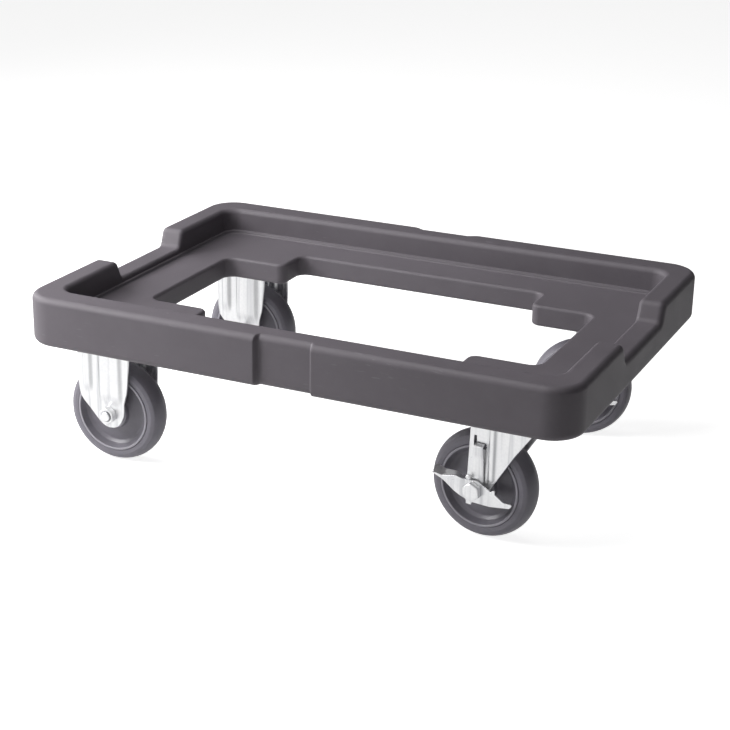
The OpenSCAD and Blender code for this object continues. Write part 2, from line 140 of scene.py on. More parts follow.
def rim_crest():
    """For each station of a quarter: place along the short side, height, slope's normal, inner edge radius."""
    turn = math.atan2(RIM_Z - LIP_Z, NOTCH_HIGH - NOTCH_LOW)
    foot_t, top_t = NOTCH_FOOT_R * math.tan(turn / 2), NOTCH_TOP_R * math.tan(turn / 2)
    slope = math.hypot(RIM_Z - LIP_Z, NOTCH_HIGH - NOTCH_LOW) - foot_t - top_t
    flat = NOTCH_LOW - foot_t
    ends = np.cumsum([flat, NOTCH_FOOT_R * turn, slope, NOTCH_TOP_R * turn])
    total = ends[3] + 90 - (NOTCH_HIGH + top_t)
    rows = []
    for y in outer_quarter(0)[:, 1][:78]:
        s = y if y < 60 else 60 + (y - 60) * (total - 60) / 30 if y < 90 else total + y - 90
        share = min(1.0, max(0.0, (s - ends[0]) / (ends[3] - ends[0])))
        inner = LIP_INNER_R + (SHORT_INNER_R - LIP_INNER_R) * share
        if s < ends[0]:
            rows.append((s, LIP_Z, 0.0, 1.0, inner))
        elif s < ends[1]:
            a = (s - ends[0]) / NOTCH_FOOT_R
            n = (-math.sin(a), math.cos(a))
            rows.append((flat - NOTCH_FOOT_R * n[0], LIP_Z + NOTCH_FOOT_R * (1 - n[1]), *n, inner))
        elif s < ends[2]:
            n = (-math.sin(turn), math.cos(turn))
            d = s - ends[1] + foot_t
            rows.append((NOTCH_LOW + d * math.cos(turn), LIP_Z + d * math.sin(turn), *n, inner))
        elif s < ends[3]:
            a = turn - (s - ends[2]) / NOTCH_TOP_R
            n = (-math.sin(a), math.cos(a))
            cy, cz = NOTCH_HIGH + top_t, RIM_Z - NOTCH_TOP_R
            rows.append((cy + NOTCH_TOP_R * n[0], cz + NOTCH_TOP_R * n[1], *n, inner))
        else:
            rows.append((y, RIM_Z, 0.0, 1.0, inner))
    for i in range(28):
        f = i / 28
        rows.append((0, RIM_Z, 0.0, 1.0, SHORT_INNER_R + (LONG_INNER_R - SHORT_INNER_R) * f * f * (3 - 2 * f)))
    rows += [(0, RIM_Z, 0.0, 1.0, LONG_INNER_R)] * 107
    return np.array(rows)


def soft_step(x, a, b):
    t = np.clip((x - a) / (b - a), 0, 1)
    return t * t * (3 - 2 * t)


def hand_recess(line):
    """Takes the shallow full-height recess out of both long sides of an outer line."""
    x, y = line[:, 0], line[:, 1]
    front = soft_step(x, -31.5, -26.5) * (1 - soft_step(x, 37.0, 41.5))
    rear = soft_step(x, -45.0, -29.0) * (1 - soft_step(x, 31.0, 47.0))
    deep = RECESS_DEPTH * np.where(y < 0, front, rear) * (np.abs(x) < 59)
    return np.stack([x, y - np.sign(y) * deep], 1)


crest = rim_crest()
short_side = np.arange(len(crest)) < 60
crest_all = {k: all_round_value(crest[:, i]) for i, k in enumerate(("y", "z", "ny", "nz", "inner"))}
on_short = all_round_value(short_side)


def rim_row(line, depth):
    """A row of points that lie depth below the rim's crest, square to it."""
    out = np.zeros((len(line), 3))
    out[:, :2] = line
    along = crest_all["y"] - depth * crest_all["ny"]
    out[:, 1] = np.where(on_short, np.sign(line[:, 1] + 1e-9) * along, line[:, 1])
    out[:, 2] = crest_all["z"] - depth * crest_all["nz"]
    return out


def flat_row(line, z):
    return np.concatenate([line, np.full((len(line), 1), z)], 1)


def tray_lines(outsets):
    """The tray's line with a different outset at each station."""
    near, far = all_round(tray_quarter(0)), all_round(tray_quarter(10))
    return near + (far - near) * (outsets / 10)[:, None]


rows = []
for a in np.radians(np.linspace(0, 90, 9)):
    inset = OUTER_EDGE_R * (1 - math.sin(a))
    z = UNDER_Z + OUTER_EDGE_R * (1 - math.cos(a))
    rows.append(flat_row(hand_recess(all_round(outer_quarter(inset))), z))
wall = hand_recess(all_round(outer_quarter(0)))
rows.append(flat_row(wall, UNDER_Z + OUTER_EDGE_R + 2))
waist = flat_row(wall, 176)
rows.append(waist)
edge_start = rim_row(wall, OUTER_EDGE_R)
rows.append(edge_start * 0.86 + waist * 0.14)
for a in np.radians(np.linspace(0, 90, 10)):
    inset = OUTER_EDGE_R * (1 - math.cos(a))
    rows.append(rim_row(hand_recess(all_round(outer_quarter(inset))), OUTER_EDGE_R * (1 - math.sin(a))))
rows.append(rim_row(hand_recess(all_round(outer_quarter(OUTER_EDGE_R + 1.5))), 0))
inner_r = crest_all["inner"]
rows.append(rim_row(tray_lines(inner_r + 1.5), 0))
for a in np.radians(np.linspace(0, 90, 10)):
    rows.append(rim_row(tray_lines(inner_r * (1 - math.sin(a))), inner_r * (1 - math.cos(a))))
ledge_base = flat_row(all_round(tray_quarter(0)), LEDGE_Z + 1.5)
rows.append(rows[-1] * 0.82 + ledge_base * 0.18)
rows.append(ledge_base)
for outset, z in ((0, LEDGE_Z + 0.7), (-0.3, LEDGE_Z + 0.2), (-0.9, LEDGE_Z), (-1.7, LEDGE_Z),
                  (-2.3, LEDGE_Z - 0.3), (-2.6, LEDGE_Z - 1.0), (-2.9, DECK_Z + 1.6),
                  (-3.4, DECK_Z + 0.6), (-4.4, DECK_Z + 0.1), (-5.6, DECK_Z), (-7.5, DECK_Z)):
    rows.append(flat_row(all_round(tray_quarter(outset)), z))
rows.append(flat_row(all_round(opening_quarter(DECK_EDGE_R + 2)), DECK_Z))
for a in np.radians(np.linspace(0, 90, 8)):
    outset = DECK_EDGE_R * (1 - math.sin(a))
    rows.append(flat_row(all_round(opening_quarter(outset)), DECK_Z - DECK_EDGE_R * (1 - math.cos(a))))
rows.append(flat_row(all_round(opening_quarter(0)), DECK_Z - DECK_EDGE_R - 1.5))
rows.append(flat_row(all_round(opening_quarter(0)), UNDER_Z + DECK_EDGE_R + 1.5))
for a in np.radians(np.linspace(0, 90, 6)):
    outset = DECK_EDGE_R * (1 - math.cos(a))
    rows.append(flat_row(all_round(opening_quarter(outset)), UNDER_Z + DECK_EDGE_R * (1 - math.sin(a))))
rows.append(flat_row(all_round(opening_quarter(DECK_EDGE_R + 2)), UNDER_Z))
rows.append(flat_row(hand_recess(all_round(outer_quarter(OUTER_EDGE_R + 2))), UNDER_Z))


def net(rows, close_rows=True, close_loops=True):
    """Faces of a net whose rows all have the same number of points."""
    n, count = len(rows[0]), len(rows)
    faces = []
    for j in range(count if close_rows else count - 1):
        a, b = j * n, (j + 1) % count * n
        for i in range(n if close_loops else n - 1):
            k = (i + 1) % n
            faces.append((a + i, a + k, b + k, b + i))
    return faces


frame_moulding = piece("frame_moulding", np.concatenate(rows) * MM, net(rows))


def node_group(name, inputs, outputs):
    group = bpy.data.node_groups.new(name, "ShaderNodeTree")
    for label, kind, default in inputs:
        socket = group.interface.new_socket(label, in_out="INPUT", socket_type=kind)
        if default is not None:
            socket.default_value = default
    for label, kind in outputs:
        group.interface.new_socket(label, in_out="OUTPUT", socket_type=kind)
    return group, group.nodes.new("NodeGroupInput"), group.nodes.new("NodeGroupOutput")


def wire(tree, *pairs):
    for a, b in pairs:
        tree.links.new(a, b)


def shader(tree, kind, **settings):
    made = tree.nodes.new("ShaderNode" + kind)
    for key, value in settings.items():
        if hasattr(made, key):
            setattr(made, key, value)
        else:
            made.inputs[key].default_value = value
    return made


def build_uneven():
    """Two sizes of cloudy variation added together, centred on zero."""
    group, given, result = node_group(
        "uneven", [("Large size", "NodeSocketFloat", 8.0), ("Small size", "NodeSocketFloat", 60.0),
                   ("Seed", "NodeSocketFloat", 0.0)], [("Value", "NodeSocketFloat")])
    coords = shader(group, "TexCoord")
    large = shader(group, "TexNoise", noise_dimensions="4D", Detail=3.0, Roughness=0.55)
    small = shader(group, "TexNoise", noise_dimensions="4D", Detail=4.0, Roughness=0.6)
    add = shader(group, "Math", operation="ADD")
    centre = shader(group, "Math", operation="SUBTRACT")
    centre.inputs[1].default_value = 1.0
    wire(group, (coords.outputs["Object"], large.inputs["Vector"]),
         (coords.outputs["Object"], small.inputs["Vector"]),
         (given.outputs["Large size"], large.inputs["Scale"]), (given.outputs["Small size"], small.inputs["Scale"]),
         (given.outputs["Seed"], large.inputs["W"]), (given.outputs["Seed"], small.inputs["W"]),
         (large.outputs[0], add.inputs[0]), (small.outputs[0], add.inputs[1]),
         (add.outputs[0], centre.inputs[0]), (centre.outputs[0], result.inputs["Value"]))
    return group


def build_mould_grain():
    """Height of the fine sand-like grain that a rotational mould leaves, over a slight unevenness of the wall."""
    group, given, result = node_group(
        "mould_grain", [("Grain size", "NodeSocketFloat", 1400.0), ("Wave size", "NodeSocketFloat", 16.0),
                        ("Wave share", "NodeSocketFloat", 0.6)], [("Height", "NodeSocketFloat")])
    coords = shader(group, "TexCoord")
    grain = shader(group, "TexNoise", Detail=3.0, Roughness=0.65)
    wave = shader(group, "TexNoise", Detail=1.0, Roughness=0.4)
    share = shader(group, "Math", operation="MULTIPLY")
    add = shader(group, "Math", operation="ADD")
    wire(group, (coords.outputs["Object"], grain.inputs["Vector"]), (coords.outputs["Object"], wave.inputs["Vector"]),
         (given.outputs["Grain size"], grain.inputs["Scale"]), (given.outputs["Wave size"], wave.inputs["Scale"]),
         (wave.outputs[0], share.inputs[0]), (given.outputs["Wave share"], share.inputs[1]),
         (grain.outputs[0], add.inputs[0]), (share.outputs[0], add.inputs[1]),
         (add.outputs[0], result.inputs["Height"]))
    return group


def build_scuffs():
    """A mask of faint thin rub marks: stretched bands of noise, kept only where a second noise allows."""
    group, given, result = node_group(
        "scuffs", [("Size", "NodeSocketFloat", 60.0), ("Amount", "NodeSocketFloat", 0.5),
                   ("Stretch", "NodeSocketVector", (1.0, 1.0, 9.0)), ("Tilt", "NodeSocketVector", (0.0, 0.5, 0.3))],
        [("Mask", "NodeSocketFloat")])
    coords = shader(group, "TexCoord")
    turn = shader(group, "Mapping")
    fine = shader(group, "TexNoise", Detail=2.0, Roughness=0.5)
    patch = shader(group, "TexNoise", Scale=9.0, Detail=2.0)
    thin = shader(group, "ValToRGB")
    thin.color_ramp.elements[0].position = 0.66
    thin.color_ramp.elements[1].position = 0.72
    where = shader(group, "ValToRGB")
    where.color_ramp.elements[0].position = 0.52
    where.color_ramp.elements[1].position = 0.66
    both = shader(group, "Math", operation="MULTIPLY")
    scaled = shader(group, "Math", operation="MULTIPLY")
    wire(group, (coords.outputs["Object"], turn.inputs["Vector"]), (given.outputs["Stretch"], turn.inputs["Scale"]),
         (given.outputs["Tilt"], turn.inputs["Rotation"]), (turn.outputs[0], fine.inputs["Vector"]),
         (given.outputs["Size"], fine.inputs["Scale"]), (coords.outputs["Object"], patch.inputs["Vector"]),
         (fine.outputs[0], thin.inputs[0]), (patch.outputs[0], where.inputs[0]),
         (thin.outputs[0], both.inputs[0]), (where.outputs[0], both.inputs[1]),
         (both.outputs[0], scaled.inputs[0]), (given.outputs["Amount"], scaled.inputs[1]),
         (scaled.outputs[0], result.inputs["Mask"]))
    return group


def build_rolled_streaks():
    """A mask of long soft streaks along Z, as rolled and dipped steel sheet shows."""
    group, given, result = node_group(
        "rolled_streaks", [("Across", "NodeSocketFloat", 150.0), ("Along", "NodeSocketFloat", 5.0)],
        [("Mask", "NodeSocketFloat")])
    coords = shader(group, "TexCoord")
    scale = shader(group, "CombineXYZ")
    stretch = shader(group, "VectorMath", operation="MULTIPLY")
    streak = shader(group, "TexNoise", Scale=1.0, Detail=2.0, Roughness=0.5)
    mask = shader(group, "MapRange", interpolation_type="SMOOTHSTEP")
    for key, number in (("From Min", 0.46), ("From Max", 0.74), ("To Min", 0.0), ("To Max", 0.85)):
        mask.inputs[key].default_value = number
    wire(group, (given.outputs["Across"], scale.inputs["X"]), (given.outputs["Across"], scale.inputs["Y"]),
         (given.outputs["Along"], scale.inputs["Z"]), (coords.outputs["Object"], stretch.inputs[0]),
         (scale.outputs[0], stretch.inputs[1]), (stretch.outputs[0], streak.inputs["Vector"]),
         (streak.outputs[0], mask.inputs["Value"]), (mask.outputs[0], result.inputs["Mask"]))
    return group


uneven_group = build_uneven()
rolled_streaks_group = build_rolled_streaks()
mould_grain_group = build_mould_grain()
scuffs_group = build_scuffs()


def use_group(tree, group, **values):
    made = tree.nodes.new("ShaderNodeGroup")
    made.node_tree = group
    for key, value in values.items():
        made.inputs[key.replace("_", " ")].default_value = value
    return made


def new_material(name):
    """A material with just a Principled shader, and its tree."""
    made = bpy.data.materials.new(name)
    made.use_nodes = True
    tree = made.node_tree
    tree.nodes.clear()
    surface = tree.nodes.new("ShaderNodeBsdfPrincipled")
    out = tree.nodes.new("ShaderNodeOutputMaterial")
    tree.links.new(surface.outputs[0], out.inputs["Surface"])
    return made, tree, surface


def tint(tree, value, dark, light, low=-0.4, high=0.4):
    """A colour between dark and light, by a value that runs from low to high."""
    ramp = shader(tree, "MapRange")
    ramp.inputs["From Min"].default_value = low
    ramp.inputs["From Max"].default_value = high
    mix = shader(tree, "Mix", data_type="RGBA")
    mix.inputs[6].default_value = (*dark, 1)
    mix.inputs[7].default_value = (*light, 1)
    wire(tree, (value, ramp.inputs["Value"]), (ramp.outputs[0], mix.inputs[0]))
    return mix.outputs[2]


def spread(tree, value, low, high, from_low=-0.4, from_high=0.4):
    """A number between low and high, by a value that varies over the surface."""
    ramp = shader(tree, "MapRange")
    for key, number in (("From Min", from_low), ("From Max", from_high), ("To Min", low), ("To Max", high)):
        ramp.inputs[key].default_value = number
    wire(tree, (value, ramp.inputs["Value"]))
    return ramp.outputs[0]


def relief(tree, surface, height, strength, distance):
    bump = shader(tree, "Bump", Strength=strength, Distance=distance)
    wire(tree, (height, bump.inputs["Height"]), (bump.outputs[0], surface.inputs["Normal"]))


frame_plastic, tree, surface = new_material("moulded_grey_polyethylene")
cloud = use_group(tree, uneven_group, Large_size=5.0, Small_size=45.0, Seed=1.3)
marks = use_group(tree, scuffs_group, Size=55.0, Amount=0.55, Stretch=(1.0, 1.0, 7.0))
body_colour = tint(tree, cloud.outputs[0], (0.128, 0.115, 0.130), (0.150, 0.136, 0.153))
marked = shader(tree, "Mix", data_type="RGBA")
marked.inputs[7].default_value = (0.22, 0.205, 0.225, 1)
wire(tree, (marks.outputs[0], marked.inputs[0]), (body_colour, marked.inputs[6]),
     (marked.outputs[2], surface.inputs["Base Color"]),
     (spread(tree, cloud.outputs[0], 0.44, 0.58), surface.inputs["Roughness"]))
surface.inputs["Specular IOR Level"].default_value = 0.32
grain = use_group(tree, mould_grain_group, Grain_size=900.0, Wave_size=14.0, Wave_share=2.2)
relief(tree, surface, grain.outputs[0], 0.35, 0.00035)
frame_moulding.data.materials.append(frame_plastic)
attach(frame_moulding, "frame")
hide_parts("deck_frame")

# ---------------------------------------------------------------------------------------------
# Threaded inserts: sixteen turned brass bushes moulded into the underside, four to a caster.
# Only their lower rims meet the air, behind the mounting plates.
# ---------------------------------------------------------------------------------------------
insert_brass, tree, surface = new_material("turned_brass")
cloud = use_group(tree, uneven_group, Large_size=90.0, Small_size=700.0)
wire(tree, (tint(tree, cloud.outputs[0], (0.55, 0.40, 0.17), (0.74, 0.58, 0.30)), surface.inputs["Base Color"]),
     (spread(tree, cloud.outputs[0], 0.25, 0.45), surface.inputs["Roughness"]))
surface.inputs["Metallic"].default_value = 1.0
relief(tree, surface, cloud.outputs[0], 0.15, 0.0002)


def finish_node(name, material):
    """Gives a CAD node its material."""
    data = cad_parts[name].data
    data.materials.clear()
    data.materials.append(material)


finish_node("threaded_inserts", insert_brass)

# ---------------------------------------------------------------------------------------------
# Mounting bolts and washers: zinc-plated hexagon bolts through each mounting plate into the
# inserts. The heads have the forged chamfer that leaves a round face on the hexagon.
# ---------------------------------------------------------------------------------------------
CASTER_X, CASTER_Y, HOLE_DX, HOLE_DY = 257.0, 172.0, 80.0, 62.0
PLATE_TOP, SHEET, WASHER_T, PLATE_GAP = 157.0, 3.0, 1.6, 0.05


def lathe(name, profile, place, turns=96, closed=True):
    """Turns a section of (radius, height) round Z, then puts it in place. Points are in mm."""
    rows = []
    for r, z in profile:
        a = np.linspace(0, 2 * math.pi, turns, endpoint=False)
        rows.append(np.stack([r * np.cos(a), r * np.sin(a), np.full(turns, z)], 1))
    made = piece(name, np.concatenate(rows) * MM, net(rows, close_rows=closed))
    made.matrix_world = place
    return made


def hex_solid(name, across, rows, place, bore=0.0):
    """A hexagon bar cut by a turned profile: rows of (height, turned radius); across is over the flats."""
    a = np.linspace(0, 2 * math.pi, 96, endpoint=False)
    flat = across / 2 / np.cos((a + math.pi / 6) % (math.pi / 3) - math.pi / 6)
    loops = []
    for z, r in rows:
        reach = np.minimum(flat, r) if r > bore else np.full(96, max(r, bore))
        loops.append(np.stack([reach * np.cos(a), reach * np.sin(a), np.full(96, z)], 1))
    verts = np.concatenate(loops)
    faces = net(loops, close_rows=bore > 0)
    if not bore:
        faces.append(tuple(range(96))[::-1])
        faces.append(tuple(range(len(verts) - 96, len(verts))))
    made = piece(name, verts * MM, faces, weighted=True)
    made.matrix_world = place
    return made


def at(x, y, z, turn=0.0):
    """A place in the row frame, in mm and degrees about Z."""
    return Matrix.Translation(Vector((x, y, z)) * MM) @ Matrix.Rotation(math.radians(turn), 4, "Z")


def join(name, objects):
    """One piece from several, each in its own place."""
    bpy.context.view_layer.update()
    work = bmesh.new()
    for o in objects:
        data = o.data.copy()
        data.transform(o.matrix_world)
        work.from_mesh(data)
        bpy.data.meshes.remove(data)
    data = bpy.data.meshes.new(name)
    work.to_mesh(data)
    work.free()
    for o in objects:
        bpy.data.objects.remove(o)
    made = bpy.data.objects.new(name, data)
    bpy.context.scene.collection.objects.link(made)
    normals = made.modifiers.new("even_flats", "WEIGHTED_NORMAL")
    normals.weight = 100
    return made


def face_outwards(obj):
    """Turns every face of a joined piece outwards."""
    work = bmesh.new()
    work.from_mesh(obj.data)
    bmesh.ops.recalc_face_normals(work, faces=work.faces)
    work.to_mesh(obj.data)
    work.free()


heads = []
for ex in (-1, 1):
    for ey in (-1, 1):
        for hx in (-0.5, 0.5):
            for hy in (-0.5, 0.5):
                low = PLATE_TOP - SHEET - WASHER_T
                spot = at(ex * CASTER_X + hx * HOLE_DX, ey * CASTER_Y + hy * HOLE_DY, low, 17 * ex + 23 * hx)
                heads.append(hex_solid("head", 13.0, [
                    (0.0, 4.0), (0.0, 6.4), (-0.3, 6.9), (-0.5, 9), (-4.2, 9), (-4.75, 7.0), (-5.2, 6.1),
                    (-5.3, 5.6), (-5.3, 3.0), (-5.3, 0.2)], spot))
                shank = spot @ Matrix.Translation(Vector((0, 0, 22.0)) * MM)
                shank_line = [(0.01, -22.2), (4.0, -22.2), (4.0, -0.9), (3.2, 0), (0.01, 0)]
                heads.append(lathe("shank", shank_line, shank, 24))
mount_bolts = join("mounting_bolts", heads)
zinc_plate, tree, surface = new_material("bright_zinc_plate")
cloud = use_group(tree, uneven_group, Large_size=22.0, Small_size=320.0, Seed=4.0)
rub = use_group(tree, scuffs_group, Size=160.0, Amount=1.0, Stretch=(1.0, 1.0, 0.12), Tilt=(0.0, 0.0, 0.0))
zinc_colour = tint(tree, cloud.outputs[0], (0.80, 0.805, 0.82), (0.97, 0.97, 0.97))
rolled = use_group(tree, rolled_streaks_group, Across=150.0, Along=5.0)
streaked = shader(tree, "Mix", data_type="RGBA")
streaked.inputs[7].default_value = (0.60, 0.605, 0.625, 1)
rub_wear_and_highlight = shader(tree, "Mix", data_type="RGBA")
rub_wear_and_highlight.inputs[7].default_value = (0.70, 0.70, 0.70, 1)
# Painted shade: a point attribute set on the leg ribs' sides and on the axle bolts' head sides and threaded ends
# mixes the zinc colour towards dark grey.
painted_shade_attr = shader(tree, "Attribute", attribute_name="painted_shade")
painted_shade_mix = shader(tree, "Mix", data_type="RGBA")
painted_shade_mix.inputs[7].default_value = (0.34, 0.345, 0.365, 1)
wire(tree, (rolled.outputs[0], streaked.inputs[0]), (zinc_colour, streaked.inputs[6]),
     (rub.outputs[0], rub_wear_and_highlight.inputs[0]), (streaked.outputs[2], rub_wear_and_highlight.inputs[6]),
     (painted_shade_attr.outputs["Fac"], painted_shade_mix.inputs[0]), (rub_wear_and_highlight.outputs[2], painted_shade_mix.inputs[6]),
     (painted_shade_mix.outputs[2], surface.inputs["Base Color"]),
     (spread(tree, cloud.outputs[0], 0.26, 0.42), surface.inputs["Roughness"]))
surface.inputs["Metallic"].default_value = 0.9
relief(tree, surface, cloud.outputs[0], 0.10, 0.0002)
mount_bolts.data.materials.append(zinc_plate)
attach(mount_bolts, "frame")
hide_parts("mount_bolts")
finish_node("mount_washers", zinc_plate)

# ---------------------------------------------------------------------------------------------
# Rigid forks: each a mounting plate and two pressed legs in 3 mm zinc-plated steel. A narrow rib
# and a wide raised panel are pressed into each leg; they fade out above the rounded foot.
# ---------------------------------------------------------------------------------------------
WHEEL_R, LEG_IN, LEG_OUT, RIB = 63.5, 20.0, 23.0, 2.9


def rounded(points, steps=5):
    """A polygon with some corners rounded: each point is (a, b) or (a, b, radius)."""
    out = []
    n = len(points)
    for i, p in enumerate(points):
        here = np.array(p[:2], float)
        r = p[2] if len(p) > 2 else 0.0
        before, after = np.array(points[i - 1][:2], float), np.array(points[(i + 1) % n][:2], float)
        u, v = before - here, after - here
        lu, lv = np.linalg.norm(u), np.linalg.norm(v)
        if r <= 0 or lu < 1e-9 or lv < 1e-9:
            out.append(here)
            continue
        u, v = u / lu, v / lv
        half = math.acos(max(-1, min(1, float(u @ v)))) / 2
        if half > math.pi / 2 - 1e-3:
            out.append(here)
            continue
        reach = min(r / math.tan(half), lu * 0.499, lv * 0.499)
        r = reach * math.tan(half)
        middle = here + (u + v) / np.linalg.norm(u + v) * (r / math.sin(half))
        start, end = here + u * reach - middle, here + v * reach - middle
        a0, a1 = math.atan2(start[1], start[0]), math.atan2(end[1], end[0])
        turn = (a1 - a0 + math.pi) % (2 * math.pi) - math.pi
        for k in range(steps + 1):
            a = a0 + turn * k / steps
            out.append(middle + r * np.array([math.cos(a), math.sin(a)]))
    return np.array(out)


def slab(name, outline, low, high, place, edge=0.5, steps=2):
    """A flat sheet with that outline in X and Y, between two heights, its edges rounded."""
    n = len(outline)
    area = 0.5 * sum(outline[i][0] * outline[(i + 1) % n][1] - outline[(i + 1) % n][0] * outline[i][1]
                     for i in range(n))
    line = outline if area > 0 else outline[::-1]
    work = bmesh.new()
    bottom = [work.verts.new((x * MM, y * MM, low * MM)) for x, y in line]
    face = work.faces.new(bottom[::-1])
    grown = bmesh.ops.extrude_face_region(work, geom=[face])
    top = [g for g in grown["geom"] if isinstance(g, bmesh.types.BMVert)]
    bmesh.ops.translate(work, verts=top, vec=(0, 0, (high - low) * MM))
    work.faces.ensure_lookup_table()
    bmesh.ops.recalc_face_normals(work, faces=work.faces)
    data = bpy.data.meshes.new(name)
    work.to_mesh(data)
    work.free()
    obj = bpy.data.objects.new(name, data)
    bpy.context.scene.collection.objects.link(obj)
    obj.matrix_world = place
    soften = obj.modifiers.new("edges", "BEVEL")
    soften.width, soften.segments, soften.limit_method = edge * MM, steps, "ANGLE"
    soften.angle_limit = math.radians(50)
    return baked(obj)


def baked(obj):
    """The object with its modifiers made part of its mesh."""
    bpy.context.view_layer.update()
    seen = obj.evaluated_get(bpy.context.evaluated_depsgraph_get())
    data = bpy.data.meshes.new_from_object(seen)
    obj.modifiers.clear()
    old = obj.data
    obj.data = data
    bpy.data.meshes.remove(old)
    data.polygons.foreach_set("use_smooth", [True] * len(data.polygons))
    return obj


def pressed_leg(name, left, right, heights, press, place, columns=84, bend_top=0.0):
    """A sheet leg from its left and right edges by height; press(u, z) is how far it stands out."""
    left, right = np.array(left, float), np.array(right, float)
    rows = []
    for z in heights:
        u0, u1 = np.interp(z, left[:, 1], left[:, 0]), np.interp(z, right[:, 1], right[:, 0])
        nip = min(0.45, (u1 - u0) / 3)
        u = np.linspace(u0 + nip, u1 - nip, columns)
        fold = 0.0
        if bend_top:
            t = max(0.0, z - (heights[-1] - bend_top))
            fold = bend_top - math.sqrt(max(0.0, bend_top ** 2 - t ** 2))
        out = press(u, z) - fold
        front = np.stack([u, LEG_OUT + out, np.full(columns, z)], 1)
        back = np.stack([u, np.maximum(LEG_IN + out, LEG_IN), np.full(columns, z)], 1)[::-1]
        ends = [[u1, LEG_OUT + out[-1] - 0.45, z], [u1, LEG_IN + max(out[-1], 0) + 0.45, z]]
        starts = [[u0, LEG_IN + max(out[0], 0) + 0.45, z], [u0, LEG_OUT + out[0] - 0.45, z]]
        rows.append(np.concatenate([front, ends, back, starts]))
    verts = np.concatenate(rows)
    faces = net(rows, close_rows=False)
    n = len(rows[0])
    for base in (0, len(verts) - n):
        for i in range(columns - 1):
            faces.append((base + i, base + i + 1, base + n - 4 - i, base + n - 3 - i))
        faces.append((base + columns - 1, base + columns, base + columns + 1, base + columns + 2))
        faces.append((base, base + n - 1, base + n - 2, base + n - 3))
    made = piece(name, verts * MM, faces)
    paint_rib_shade(made, press)
    made.matrix_world = place
    return made


def paint_rib_shade(obj, press):
    """Stores painted shade on the sides of the ribs: up to 1 on a rib's side, 0 on its flats; sides that fall away
    along u get more than rising sides, and a rib's fading end gets some too.
    """
    at = np.empty(len(obj.data.vertices) * 3)
    obj.data.vertices.foreach_get("co", at)
    u, z = at[0::3] / MM, at[2::3] / MM
    slope = (press(u + 0.3, z) - press(u - 0.3, z)) / 0.6
    fade = (press(u, z + 0.5) - press(u, z - 0.5)) / 1.0
    painted_shade = np.clip(np.where(slope < 0, -slope * 0.5, slope * 0.3) + np.abs(fade) * 0.4, 0, 1)
    layer = obj.data.attributes.new("painted_shade", "FLOAT", "POINT")
    layer.data.foreach_set("value", painted_shade.astype(np.float32))


def bump_band(u, a, b, ramp=2.6):
    return soft_step(u, a - ramp / 2, a + ramp / 2) * (1 - soft_step(u, b - ramp / 2, b + ramp / 2))


def rigid_press(u, z):
    panel = bump_band(u, -12.5, 17.5, 5.6) * soft_step(z, 12, 27)
    side = bump_band(u, -35.0, -24.0, 5.2) * soft_step(z, 22, 38)
    return RIB * np.maximum(panel, side)


RIGID_LEFT = [(-0.3, -17), (-4.8, -16.3), (-8.9, -14.6), (-14.5, -10.4), (-25.6, 2), (-36.4, 13.2), (-39.4, 17.4),
              (-41.2, 22.5), (-42.4, 30.5), (-43.3, 42), (-43.5, 50), (-43.5, 91)]
RIGID_RIGHT = [(-0.3, -17), (6.5, -16.4), (11.3, -14.4), (15.2, -10.6), (18.1, -5.5), (20.4, 0.5), (21.3, 7),
               (21.4, 16), (23.3, 24), (25.2, 30), (27.0, 42.8), (29.0, 72.8), (29.0, 91)]
foot = [-17, -16.93, -16.7, -16.3, -15.7, -14.9, -13.9, -12.7, -11.3, -9.8, -8]
rigid_heights = foot + list(np.linspace(-6, 60, 38)) + list(np.linspace(63, 90.8, 8))
PLACES = {"fl": at(-CASTER_X, -CASTER_Y, 0), "rl": at(-CASTER_X, CASTER_Y, 0),
          "fr": at(CASTER_X, -CASTER_Y, 0, -7), "rr": at(CASTER_X, CASTER_Y, 0, 14)}
SIDE_FLIP = Matrix.Scale(-1, 4, (0, 1, 0))
plate_line = rounded([(-52, -40, 8), (52, -40, 8), (52, 40, 8), (-52, 40, 8)], 6)


def mounting_plate(name, place):
    """The mounting plate, solid here: the bolts and washers cover its four holes."""
    return slab(name, plate_line, PLATE_TOP - SHEET, PLATE_TOP - PLATE_GAP, place, 0.6)


for c in ("fl", "rl"):
    wheel_place = PLACES[c] @ Matrix.Translation((0, 0, WHEEL_R * MM))
    front = wheel_place @ SIDE_FLIP
    rear = wheel_place @ Matrix.Rotation(math.pi, 4, "Z") @ SIDE_FLIP
    minus = pressed_leg("leg", RIGID_LEFT, RIGID_RIGHT, rigid_heights, rigid_press, front)
    plus = pressed_leg("leg", RIGID_LEFT, RIGID_RIGHT, rigid_heights, rigid_press, rear)
    fork = join(f"rigid_fork_{c}_steel", [plus, minus, mounting_plate("plate", PLACES[c])])
    face_outwards(fork)
    fork.data.materials.append(zinc_plate)
    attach(fork, "frame")
    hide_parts(f"rigid_fork_{c}")

# ---------------------------------------------------------------------------------------------
# Axle bolts and nuts: a 12 mm zinc-plated bolt through both legs, clamping the axle tube. On the
# rigid casters the nut faces the front; on the swivel casters the head does, outside the pedal.
# ---------------------------------------------------------------------------------------------
AXLE_AF, HEAD_H, NUT_H, TAIL = 19.0, 7.44, 8.04, 2.2
TO_FRONT = Matrix.Rotation(math.radians(90), 4, "X")
TO_REAR = Matrix.Rotation(math.radians(-90), 4, "X")


def thread_profile(start, end, r):
    """A bolt's threaded end as fine ridges, with a chamfered tip."""
    rows = [(r, start)]
    pitch = 1.25
    z = start
    while z + pitch < end - 1.0:
        rows += [(r, z + 0.15), (r - 0.65, z + pitch * 0.5), (r, z + pitch - 0.15)]
        z += pitch
    return rows + [(r, end - 1.1), (r - 1.1, end)]


